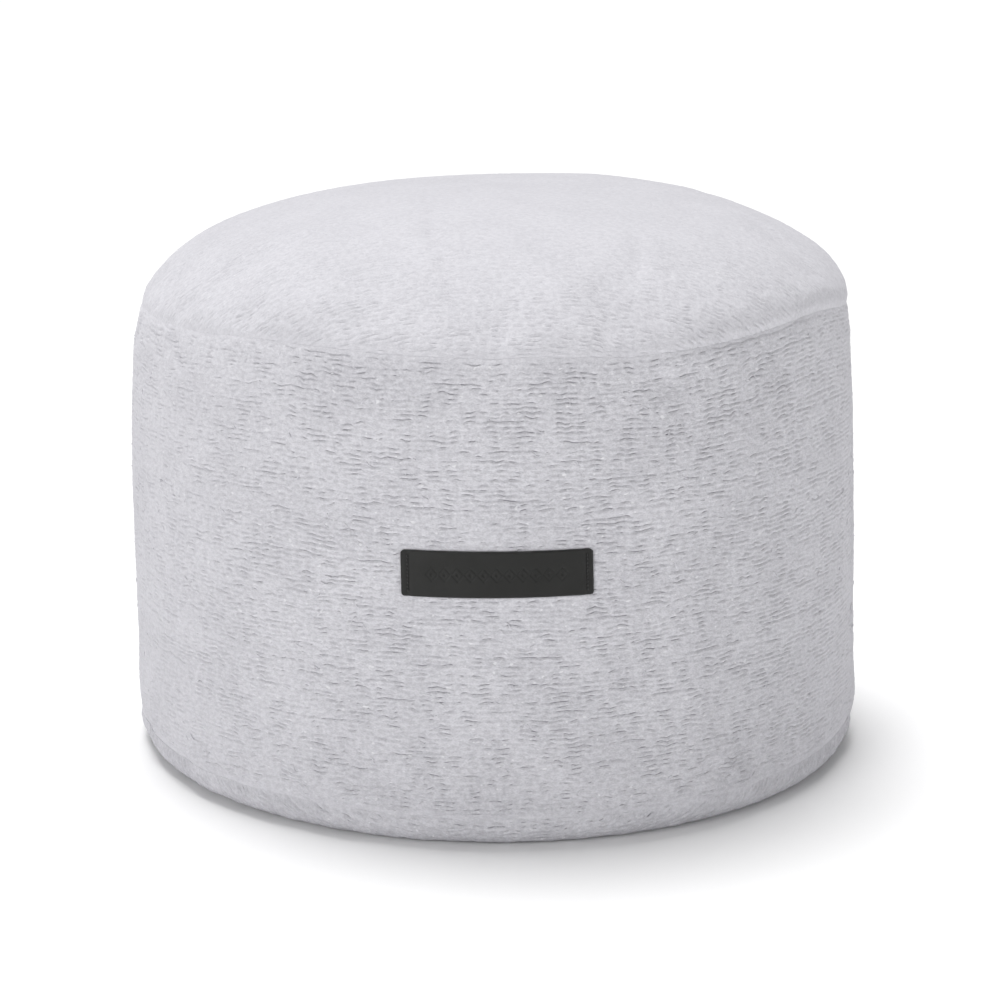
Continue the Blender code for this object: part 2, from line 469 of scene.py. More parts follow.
@dataclass(frozen=True)
class ThreadFinish:
    """Twisted black sewing thread."""

    name: str = "black_thread"
    dark: Tint = (0.008, 0.008, 0.008, 1.0)
    light: Tint = (0.022, 0.022, 0.022, 1.0)
    twist_strength: float = 0.5
    twist_depth: float = 0.00008

    def material(self) -> bpy.types.Material:
        """Make the material: a slanting twist in its relief and its colour."""
        material, n, shader = new_material(self.name)
        shader.inputs["Roughness"].default_value = 0.6
        shader.inputs["Sheen Weight"].default_value = 0.15
        place = n.add("ShaderNodeTexCoord").outputs["Object"]
        twist = n.add("ShaderNodeTexWave", wave_type="BANDS", bands_direction="DIAGONAL")
        twist.inputs["Scale"].default_value = 900.0
        n.link(place, twist.inputs["Vector"])
        n.link(n.mix(twist.outputs["Fac"], self.dark, self.light), shader.inputs["Base Color"])
        n.bump(shader, twist.outputs["Fac"], self.twist_strength, self.twist_depth)
        return material


# ---------------------------------------- the filled form
@dataclass(frozen=True)
class DrumForm:
    """Shape that the filling gives the sewn cover: turned profiles, then seam rises, folds and a lean.

    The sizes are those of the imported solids: the crown, the wall and the foot meet at the two seams.
    """

    height: float = 0.3830
    full_radius: float = 0.2500
    top_seam: tuple[float, float] = (0.2399, 0.3060)
    base_seam: tuple[float, float] = (0.2502, 0.0206)
    floor_radius: float = 0.2276
    crown_spread: float = 2.804
    crown_shoulder: float = 1.638
    base_round: float = 2.354
    barrel: tuple[tuple[float, float], ...] = (
        (0.0, 0.2502), (0.25, 0.2512), (0.5, 0.2500), (0.75, 0.2478), (1.0, 0.2399))
    seam_draw: tuple[float, float] = (0.0006, 0.0009)
    seam_reach: float = 0.0036
    # azimuth, spread (degrees), how much deeper the top seam is drawn there
    seam_deeps: Bells = ((42.0, 17.0, 1.6), (-40.0, 12.0, 0.5), (160.0, 40.0, 0.8))
    # from height, to height, shift along X
    leans: tuple[Place, ...] = ((0.030, 0.220, -0.0028), (0.270, 0.350, 0.0065))
    seam_sway: float = 0.075
    # azimuth, spread (degrees), rise of the top seam
    seam_waves: Bells = (
        (-34.0, 15.0, 0.0040), (58.0, 17.0, 0.0100), (22.0, 12.0, -0.0018),
        (150.0, 30.0, 0.0030), (-125.0, 25.0, -0.0025))
    # azimuth, height, depth, half width, half height, tilt in degrees: slack hollows and pushed-out bumps
    folds: tuple[Fold, ...] = (
        (25.0, 0.2880, 0.0036, 0.024, 0.012, 0.0),
        (32.0, 0.2740, -0.0016, 0.018, 0.012, 20.0),
        (-41.0, 0.2930, -0.0016, 0.024, 0.014, 0.0),
        (62.0, 0.3380, 0.0030, 0.026, 0.018, 0.0),
        (112.0, 0.2700, 0.0028, 0.045, 0.030, 15.0),
        (-100.0, 0.1050, 0.0022, 0.050, 0.040, -20.0),
        (168.0, 0.1500, 0.0024, 0.060, 0.040, 10.0),
        (-150.0, 0.2860, 0.0030, 0.034, 0.016, -8.0),
        (75.0, 0.0900, 0.0018, 0.050, 0.035, 0.0))

    def crown_profile(self, count: int) -> tuple[Array, Array]:
        """Radius and height from the middle of the crown out to its seam.

        A quarter of a superellipse: radius goes as cosine and height as sine, each to its own power.
        """
        turn = np.linspace(math.pi / 2, 0.0, count)
        radius = self.top_seam[0] * np.clip(np.cos(turn), 0.0, 1.0) ** (2.0 / self.crown_spread)
        crown = self.height - self.top_seam[1]
        z = self.top_seam[1] + crown * np.sin(turn) ** (2.0 / self.crown_shoulder)
        radius[0] = 0.0
        return radius, z

    def wall_profile(self, count: int) -> tuple[Array, Array]:
        """Radius and height from the base seam up to the top seam: a smooth curve through the barrel."""
        share = np.linspace(0.0, 1.0, count)
        z = self.base_seam[1] + share * (self.top_seam[1] - self.base_seam[1])
        at, radius = np.array(self.barrel).T
        curve = np.polynomial.Polynomial.fit(at, radius, len(at) - 1)
        return curve(share), z

    def foot_profile(self, count: int) -> tuple[Array, Array]:
        """Radius and height from the middle of the floor face out and up to the base seam.

        The flat is a straight line, and the rounded edge a quarter of a superellipse.
        """
        edge_r, edge_z = self.base_seam
        turn = np.linspace(math.pi / 2, 0.0, count // 2)
        radius = self.floor_radius + (edge_r - self.floor_radius) * np.cos(turn) ** (2.0 / self.base_round)
        z = edge_z - edge_z * np.sin(turn) ** (2.0 / self.base_round)
        radius[0], z[0] = self.floor_radius, 0.0
        flat = np.linspace(0.0, self.floor_radius, count - len(turn), endpoint=False)
        return np.concatenate([flat, radius]), np.concatenate([np.zeros_like(flat), z])

    def seam_pull(self, azimuth: Array, z: Array) -> Array:
        """How far the seams draw the cloth in: a bell in height about each seam, deeper at some azimuths.

        Args:
            azimuth: Where it is read.
            z: Height there.

        Returns:
            The draw in metres.
        """
        deep = bells_at(azimuth, self.seam_deeps)
        uneven = value_noise((azimuth + math.pi) / TAU * 60.0, np.zeros_like(azimuth), (60, 2), 41)
        top = self.seam_draw[0] * (1.0 + deep + 0.35 * uneven)
        base = self.seam_draw[1] * (1.0 + 0.35 * uneven)
        pull = top * np.exp(-(((z - self.top_seam[1]) / self.seam_reach) ** 2))
        return pull + base * np.exp(-(((z - self.base_seam[1]) / self.seam_reach) ** 2))

    def settle(self, azimuth: Array, radius: Array, z: Array) -> Array:
        """Carry turned points to the settled form.

        The seam's rise fades as a bell with height, each fold is a bell on the wall, and the lean moves
        whole heights along X by smooth steps.

        Args:
            azimuth: Angle of each point.
            radius: Its distance from the axis.
            z: Its height.

        Returns:
            The settled points, one row each.
        """
        reach = (radius / self.full_radius) ** 4
        rise = bells_at(azimuth, self.seam_waves)
        near = np.exp(-(((z - self.top_seam[1]) / self.seam_sway) ** 2)) * smooth_step(0.0, 0.05, z)
        depth = np.zeros_like(z)
        for centre, at, deep, half_width, half_height, tilt in self.folds:
            along = turn_between(azimuth, math.radians(centre)) * self.full_radius
            up = z - at
            cos_t, sin_t = math.cos(math.radians(tilt)), math.sin(math.radians(tilt))
            u = (along * cos_t + up * sin_t) / half_width
            v = (-along * sin_t + up * cos_t) / half_height
            depth = depth + deep * np.exp(-(u**2) - v**2)
        scale = radius * (1.0 - depth * reach / self.full_radius) - self.seam_pull(azimuth, z) * reach
        lean = sum(shift * smooth_step(low, high, z) for low, high, shift in self.leans)
        x = np.sin(azimuth) * scale + lean
        y = -np.cos(azimuth) * scale
        return np.stack([x, y, z + rise * near * reach], axis=-1)


class Panel(Enum):
    """The three panels, each from its inner or lower edge to its outer or upper one."""

    TOP = "top"
    SIDE = "side"
    BASE = "base"


@dataclass
class PanelSurface:
    """One panel's settled surface as a dense grid, read at any azimuth and share of its flat length.

    Attributes:
        length: The panel's flat length: the top's and base's cut radius, or the side strip's cut width.
        points: Grid of points, one row for each step along the profile, one column for each azimuth.
        normals: Outward normals of the same grid.
    """

    length: float
    points: Array
    normals: Array

    @classmethod
    def shaped(
        cls, form: DrumForm, panel: Panel, pucker: Array, count: int = 200, turns: int = 900
    ) -> "PanelSurface":
        """Shape a panel.

        Args:
            form: The filled form.
            panel: Which panel.
            pucker: The simulated cloth's movement on a coarse grid of the same panel.
            count: Steps along the profile.
            turns: Steps round the drum.

        Returns:
            The panel's surface. Rows are evenly spaced by length along the profile.
        """
        profiles = {
            Panel.TOP: form.crown_profile, Panel.SIDE: form.wall_profile, Panel.BASE: form.foot_profile}
        radius, z = profiles[panel](2000)
        run = np.concatenate([[0.0], np.cumsum(np.hypot(np.diff(radius), np.diff(z)))])
        even = np.linspace(0.0, run[-1], count)
        radius, z = np.interp(even, run, radius), np.interp(even, run, z)
        azimuth = np.linspace(-math.pi, math.pi, turns, endpoint=False)
        grid_a, grid_r = np.meshgrid(azimuth, radius)
        grid_z = np.broadcast_to(z[:, None], grid_a.shape)
        points = form.settle(grid_a, grid_r, grid_z) + spread_grid(pucker, count, turns)
        return cls(float(run[-1]), points, cls.outward(points, panel))

    @staticmethod
    def outward(points: Array, panel: Panel) -> Array:
        """Normals of a grid: the cross product of its two directions, turned outwards."""
        round_it = np.roll(points, -1, axis=1) - np.roll(points, 1, axis=1)
        along = np.gradient(points, axis=0)
        normals = unit(np.cross(round_it, along))
        if panel is Panel.TOP:
            normals = -normals
            normals[0] = (0.0, 0.0, 1.0)
        if panel is Panel.BASE:
            normals[0] = (0.0, 0.0, -1.0)
        return normals

    def at(self, azimuth: Array, share: Array) -> tuple[Array, Array]:
        """Points and outward normals at azimuths and shares of the profile, blended between grid points."""
        rows, turns = self.points.shape[:2]
        u = (azimuth + math.pi) / TAU * turns
        v = np.clip(share, 0.0, 1.0) * (rows - 1)
        i, j = np.floor(u).astype(int), np.minimum(np.floor(v).astype(int), rows - 2)
        fu, fv = (u - i)[..., None], (v - j)[..., None]
        i0, i1 = i % turns, (i + 1) % turns

        def blend(grid: Array) -> Array:
            low = grid[j, i0] * (1.0 - fu) + grid[j, i1] * fu
            high = grid[j + 1, i0] * (1.0 - fu) + grid[j + 1, i1] * fu
            return low * (1.0 - fv) + high * fv

        return blend(self.points), unit(blend(self.normals))


def spread_grid(coarse: Array, rows: int, columns: int) -> Array:
    """Spread a coarse grid over a dense one: a Catmull-Rom curve each way, with columns that close.

    Args:
        coarse: Grid of vectors, rows by columns.
        rows: Rows of the dense grid, ends included.
        columns: Columns of the dense grid.

    Returns:
        The dense grid.
    """

    def weights(t: Array) -> Array:
        t = t[..., None]
        return np.concatenate([
            -0.5 * t + t**2 - 0.5 * t**3, 1.0 - 2.5 * t**2 + 1.5 * t**3,
            0.5 * t + 2.0 * t**2 - 1.5 * t**3, -0.5 * t**2 + 0.5 * t**3], axis=-1)

    have_rows, have_columns = coarse.shape[:2]
    v = np.linspace(0.0, have_rows - 1.0, rows)
    j = np.minimum(np.floor(v).astype(int), have_rows - 2)
    near = np.clip(j[:, None] + np.arange(-1, 3), 0, have_rows - 1)
    tall = np.einsum("rk,rkcd->rcd", weights(v - j), coarse[near])
    u = np.arange(columns) * have_columns / columns
    i = np.floor(u).astype(int)
    near = (i[:, None] + np.arange(-1, 3)) % have_columns
    return np.einsum("ck,rckd->rcd", weights(u - i), tall[:, near])


@dataclass(frozen=True)
class CoverSimulation:
    """Cloth simulation of the sewn cover under the filling's pressure, for the puckers along its seams.

    The cover is one coarse closed bag whose seams are gathered unevenly. The bag's even swelling
    is taken out afterwards, so that it keeps its sizes, and what is left is capped.
    """

    turns: int = 132
    crown_rings: int = 18
    wall_rings: int = 30
    foot_rings: int = 14
    frames: int = 18
    pressure: float = 3.0
    gather: float = 0.05
    held_under: float = 0.004
    cap: float = 0.0022
    seed: int = 7

    def rings(self, form: DrumForm) -> tuple[Array, Array, dict[Panel, slice]]:
        """Radius and height of the bag's rings from crown to floor, and which rings each panel has."""
        profiles = []
        for make, count in ((form.crown_profile, self.crown_rings), (form.wall_profile, self.wall_rings),
                            (form.foot_profile, self.foot_rings)):
            radius, z = make(1200)
            run = np.concatenate([[0.0], np.cumsum(np.hypot(np.diff(radius), np.diff(z)))])
            even = np.linspace(0.0, run[-1], count)
            profiles.append(np.stack([np.interp(even, run, radius), np.interp(even, run, z)], axis=1))
        crown, wall, foot = profiles
        line = np.concatenate([crown[1:], wall[::-1][1:], foot[::-1][1:-1]])
        top = slice(0, self.crown_rings - 1)
        side = slice(self.crown_rings - 2, self.crown_rings + self.wall_rings - 2)
        base = slice(self.crown_rings + self.wall_rings - 3, len(line))
        return line[:, 0], line[:, 1], {Panel.TOP: top, Panel.SIDE: side, Panel.BASE: base}

    def run(self, form: DrumForm) -> dict[Panel, Array]:
        """Simulate the bag.

        Args:
            form: The filled form that the bag starts from.

        Returns:
            How far the cloth moved, on a coarse grid for each panel, rows in the panel's own order.
        """
        radius, z, parts = self.rings(form)
        azimuth = np.linspace(-math.pi, math.pi, self.turns, endpoint=False)
        grid_a, grid_r = np.meshgrid(azimuth, radius)
        start = form.settle(grid_a, grid_r, np.broadcast_to(z[:, None], grid_a.shape))
        moved = self.simulated(start, form)
        radial = np.stack([np.sin(grid_a), -np.cos(grid_a), np.zeros_like(grid_a)], axis=-1)
        out = (moved * radial).sum(-1)
        moved = moved - radial * out.mean(1, keepdims=True)[..., None]
        moved[..., 2] -= moved[..., 2].mean(1, keepdims=True)
        length = np.linalg.norm(moved, axis=-1, keepdims=True)
        moved = moved * (self.cap * np.tanh(length / self.cap) / np.maximum(length, 1e-9))
        floor = smooth_step(0.0, 0.012, start[..., 2])[..., None]
        moved = moved * floor
        pole = np.zeros((1, self.turns, 3))
        return {
            Panel.TOP: np.concatenate([pole, moved[parts[Panel.TOP]]]),
            Panel.SIDE: moved[parts[Panel.SIDE]][::-1],
            Panel.BASE: np.concatenate([pole, moved[parts[Panel.BASE]][::-1]]),
        }

    def simulated(self, start: Array, form: DrumForm) -> Array:
        """Run Blender's cloth on the bag and read how far each point moved."""
        rings, turns = start.shape[:2]
        poles = [[start[0, :, 0].mean(), 0.0, form.height], [0.0, 0.0, 0.0]]
        points = np.concatenate([start.reshape(-1, 3), poles])
        number = np.arange(rings * turns).reshape(rings, turns)
        walls = [quads_between(number[k + 1], number[k], True) for k in range(rings - 1)]
        crown, floor = rings * turns, rings * turns + 1
        first, last = number[0], number[-1]
        lid = np.stack([first, np.roll(first, -1), np.full(turns, crown)], axis=-1)
        bottom = np.stack([np.roll(last, -1), last, np.full(turns, floor)], axis=-1)
        mesh = new_mesh("cover_bag", points, walls + [lid, bottom])
        bag = bpy.data.objects.new("cover_bag", mesh)
        bpy.context.scene.collection.objects.link(bag)

        self.weigh(bag, points, number)
        self.set_cloth(bag)
        scene = bpy.context.scene
        for number_of_frame in range(1, self.frames + 1):
            scene.frame_set(number_of_frame)
        settled = bag.evaluated_get(bpy.context.evaluated_depsgraph_get()).to_mesh()
        after = np.empty(len(points) * 3)
        settled.vertices.foreach_get("co", after)
        scene.frame_set(1)
        bpy.data.objects.remove(bag, do_unlink=True)
        bpy.data.meshes.remove(mesh)
        moved = (after.reshape(-1, 3) - points)[: rings * turns].reshape(start.shape)
        LOG.info("cover simulated: largest movement %.1f mm", np.linalg.norm(moved, axis=-1).max() / MM)
        return moved

    def weigh(self, bag: bpy.types.Object, points: Array, number: Array) -> None:
        """Pin the bag to the floor, and weigh how far its seams gather, unevenly along each.

        Args:
            bag: The bag.
            points: Its points.
            number: Vertex numbers of its rings, a row for each.
        """
        turns = number.shape[1]
        rng = np.random.default_rng(self.seed)
        pin = bag.vertex_groups.new(name="pin")
        gathered = bag.vertex_groups.new(name="gather")
        pin.add([int(k) for k in np.flatnonzero(points[:, 2] < self.held_under)], 1.0, "REPLACE")
        pulls = np.zeros(len(points))
        seams = {self.crown_rings - 2: 1.0, self.crown_rings + self.wall_rings - 3: 0.8}
        ripple = value_noise(np.arange(turns) / 3.0, np.zeros(turns), (turns // 3, 2), self.seed)
        for ring, strength in seams.items():
            for offset, fade in ((-1, 0.45), (0, 1.0), (1, 0.45)):
                share = np.clip(0.55 + 0.55 * ripple + rng.uniform(-0.1, 0.1, turns), 0.0, 1.0)
                pulls[number[ring + offset]] = strength * fade * share
        for level in range(1, 11):
            chosen = np.flatnonzero(np.round(pulls * 10) == level)
            gathered.add([int(k) for k in chosen], level / 10.0, "REPLACE")

    def set_cloth(self, bag: bpy.types.Object) -> None:
        """Give the bag its cloth: light, fairly stiff, well damped, and under the filling's pressure."""
        cloth = bag.modifiers.new("cover", "CLOTH")
        settings = cloth.settings
        settings.quality = 6
        settings.mass = 0.25
        settings.tension_stiffness = settings.compression_stiffness = 18.0
        settings.shear_stiffness = 6.0
        settings.bending_stiffness = 0.4
        settings.tension_damping = settings.compression_damping = 12.0
        settings.air_damping = 4.0
        settings.use_pressure = True
        settings.uniform_pressure_force = self.pressure
        settings.vertex_group_mass = "pin"
        settings.vertex_group_shrink = "gather"
        settings.shrink_min = 0.0
        settings.shrink_max = self.gather
        settings.effector_weights.gravity = 0.0
        cloth.collision_settings.use_collision = False
        cloth.point_cache.frame_start, cloth.point_cache.frame_end = 1, self.frames


# ---------------------------------------- the woven cloth
@dataclass(frozen=True)
class Weave:
    """The bouclé's face: rows of thick uneven weft yarn, with gaps that open only here and there.

    Attributes:
        pitch: From row to row.
        step: Between points along a row.
        lift: Height of a full yarn over the panel's surface.
        closed: Height of a closed gap, as a share of the lift.
        gap: Depth of an open gap under the panel's surface.
        ground: Depth of the ground cloth under the panel's surface.
        tuck: Depth of a skin's hidden back.
        dash: Spacing of the noise that opens a gap.
        cluster: Spacing of the slower noise that is added to it.
        own_wave: How far each gap strays by itself, and the spacing of that noise.
        shared_wave: The same for what neighbouring gaps share.
        puff: Spacing of the yarn's short puffs.
        swell: Spacing of its slower swelling.
        cells: Size of the random lattices.
    """

    pitch: float = 0.0029
    step: float = 0.0022
    lift: float = 0.00115
    closed: float = 0.56
    gap: float = 0.00045
    ground: float = 0.0016
    tuck: float = 0.0030
    dash: float = 0.0035
    cluster: float = 0.024
    own_wave: tuple[float, float] = (0.00125, 0.0042)
    shared_wave: tuple[float, float] = (0.0011, 0.043)
    puff: float = 0.0040
    swell: float = 0.030
    cells: tuple[int, int] = (4096, 1024)

    def opening(self, gap: Array, along: Array, seed: int) -> Array:
        """How open each gap is: noise along the row, cut off so that a third of it opens, in short dashes.

        Every second gap opens more, as the rows lie in pairs.

        Args:
            gap: Number of the gap.
            along: Distance along it.
            seed: Which random cloth.

        Returns:
            From 0, closed, to 1, open.
        """
        dash = value_noise(along / self.dash, gap + 0.5, self.cells, seed)
        patch = value_noise(along / self.cluster, gap / 7.0, self.cells, seed + 1)
        paired = np.where(np.asarray(gap) % 2 == 0, 0.10, -0.08)
        return smooth_step(-0.16, 0.50, dash + 0.05 * patch + paired)

    def wander(self, gap: Array, along: Array, seed: int) -> Array:
        """How far each gap strays from its place: short waves of its own and long ones shared by rows."""
        own = value_noise(along / self.own_wave[1], gap + 0.5, self.cells, seed + 2)
        shared = value_noise(along / self.shared_wave[1], gap / 9.0, self.cells, seed + 3)
        return self.own_wave[0] * own + self.shared_wave[0] * shared

    def fullness(self, row: Array, along: Array, seed: int) -> Array:
        """Fullness of each yarn from 0, pinched, to 1: short puffs on longer swells."""
        puff = value_noise(along / self.puff, row + 0.5, self.cells, seed + 4)
        swell = value_noise(along / self.swell, row / 4.0, self.cells, seed + 5)
        return np.clip(0.52 + 0.55 * puff + 0.22 * swell, 0.0, 1.2)

    def lines(
        self, first: int, gap_along: Array, row_along: Array, seed: int
    ) -> tuple[Array, Array, Array]:
        """Lines of a stretch of rows: one along each gap, and two over each yarn between them.

        Args:
            first: Number of the first gap.
            gap_along: Distance along each gap, a row of the array for each.
            row_along: Distance along each yarn, one row fewer.
            seed: Which random cloth.

        Returns:
            For each line, its place across the rows, its height over the panel, and its crest from 0, in an
            open gap, to 1. The first and last gap are closed and straight, because another stretch or a
            seam joins on there.
        """
        count = len(row_along)
        gap_number = (first + np.arange(count + 1))[:, None]
        row_number = (first + np.arange(count))[:, None]
        opened = self.opening(gap_number + 2048, gap_along + 3.0, seed)
        place = gap_number * self.pitch + self.wander(gap_number + 2048, gap_along + 3.0, seed)
        full = self.fullness(row_number + 2048, row_along + 3.0, seed)
        place[0], place[-1] = first * self.pitch, (first + count) * self.pitch
        width = np.maximum(place[1:] - place[:-1], 0.2 * self.pitch)
        rise = self.lift * (0.42 + 0.58 * full) * np.clip(width / self.pitch, 0.6, 1.4)
        shape = (3 * count + 1, gap_along.shape[1])
        across, height, crest = np.empty(shape), np.empty(shape), np.ones(shape)
        across[0::3], height[0::3] = place, self.lift * self.closed * (1.0 - opened) - self.gap * opened
        crest[0::3] = 1.0 - opened
        across[1::3], across[2::3] = place[:-1] + 0.27 * width, place[:-1] + 0.73 * width
        height[1::3], height[2::3] = rise * 0.94, rise
        height[0], height[-1] = self.lift * 0.6, self.lift * 0.6
        crest[0], crest[-1] = 1.0, 1.0
        return across, height, crest


@dataclass
class Skin:
    """A stretch of woven face as a grid of points, closed behind into a solid.

    Attributes:
        points: Grid of points.
        cloth: Flat place of each, in metres, with one column more where the grid is a ring.
        crest: Crest of each.
        loft: Share of full relief at each.
        ring: True if the columns close on themselves.
        sheets: How many lengths the bake map cuts the grid into, stacked above each other.
    """

    points: Array
    cloth: Array
    crest: Array
    loft: Array
    ring: bool
    sheets: int = 1

    def grid_faces(self, number: Array) -> Array:
        """Quads of the grid, row by row."""
        after = np.roll(number, -1, axis=1)
        quads = np.stack([number[:-1], after[:-1], after[1:], number[1:]], axis=-1)
        return (quads if self.ring else quads[:, :-1]).reshape(-1, 4)

    def corners(self, values: Array) -> Array:
        """Values at the corners of the quads, from a grid with a column more than there are quads across."""
        quads = np.stack([values[:-1, :-1], values[:-1, 1:], values[1:, 1:], values[1:, :-1]], axis=2)
        return quads.reshape(-1, values.shape[-1])

    def bake_places(self, rows: int, across: int) -> Array:
        """Corner places of the bake map: each length of the grid has its own band of the map."""
        share = across // self.sheets
        column, row = np.meshgrid(np.arange(across), np.arange(rows - 1))
        sheet = np.minimum(column // share, self.sheets - 1)
        width = np.where(sheet == self.sheets - 1, across - share * (self.sheets - 1), share)
        corners = []
        for du, dv in ((0, 0), (1, 0), (1, 1), (0, 1)):
            u = (column - sheet * share + du) / width
            v = (sheet + (row + dv) / (rows - 1) * 0.985 + 0.005) / self.sheets
            corners.append(np.stack([u * 0.99 + 0.005, v], axis=-1))
        return np.stack(corners, axis=2).reshape(-1, 2)

    def part_rim(self, mesh: bpy.types.Mesh, number: Array) -> None:
        """Mark the grid's rim as sharp edges, so that the hidden back doesn't shade the face."""
        sides = [number[0], number[-1]]
        if not self.ring:
            sides += [number[:, 0], number[:, -1]]
        ends = np.empty(len(mesh.edges) * 2, dtype=np.int32)
        mesh.edges.foreach_get("vertices", ends)
        ends = ends.reshape(-1, 2)
        sharp = np.zeros(len(ends), dtype=bool)
        for side in sides:
            sharp |= np.isin(ends, side).all(axis=1)
        mark = mesh.attributes.new("sharp_edge", "BOOLEAN", "EDGE")
        mark.data.foreach_set("value", sharp)

    def mesh(self, name: str, hidden: Array) -> bpy.types.Mesh:
        """Make the solid.

        Args:
            name: The mesh's name.
            hidden: Points of the hidden back: two lines of them for a ring, or one point for a plain grid.

        Returns:
            The mesh, with its flat places, its bake map, its crest and its loft.
        """
        rows, columns = self.points.shape[:2]
        number = np.arange(rows * columns).reshape(rows, columns)
        outer = self.grid_faces(number)
        back_number = rows * columns + np.arange(hidden.reshape(-1, 3).shape[0])
        if self.ring:
            low, high = back_number.reshape(2, columns)
            behind = [quads_between(low, number[0], True), quads_between(high, low, True),
                      quads_between(number[-1], high, True)]
        else:
            rim = np.concatenate([number[0], number[1:, -1], number[-1, -2::-1], number[-2:0:-1, 0]])
            behind = [np.stack([np.roll(rim, -1), rim, np.full(len(rim), back_number[0])], axis=-1)]
        points = np.concatenate([self.points.reshape(-1, 3), hidden.reshape(-1, 3)])
        mesh = new_mesh(name, points, [outer, *behind])
        rest = sum(block.size for block in behind)
        self.part_rim(mesh, number)
        flat = self.corners(self.cloth)
        across = columns if self.ring else columns - 1
        baked = self.bake_places(rows, across)
        set_corner_uv(mesh, "cloth", np.concatenate([flat, np.repeat(flat[:1], rest, axis=0)]))
        set_corner_uv(mesh, "OFBake", np.concatenate([baked, np.full((rest, 2), 0.999)]))
        spare = len(hidden.reshape(-1, 3))
        set_mask(mesh, "crest", np.concatenate([self.crest.ravel(), np.ones(spare)]))
        set_mask(mesh, "loft", np.concatenate([self.loft.ravel(), np.zeros(spare)]))
        return mesh


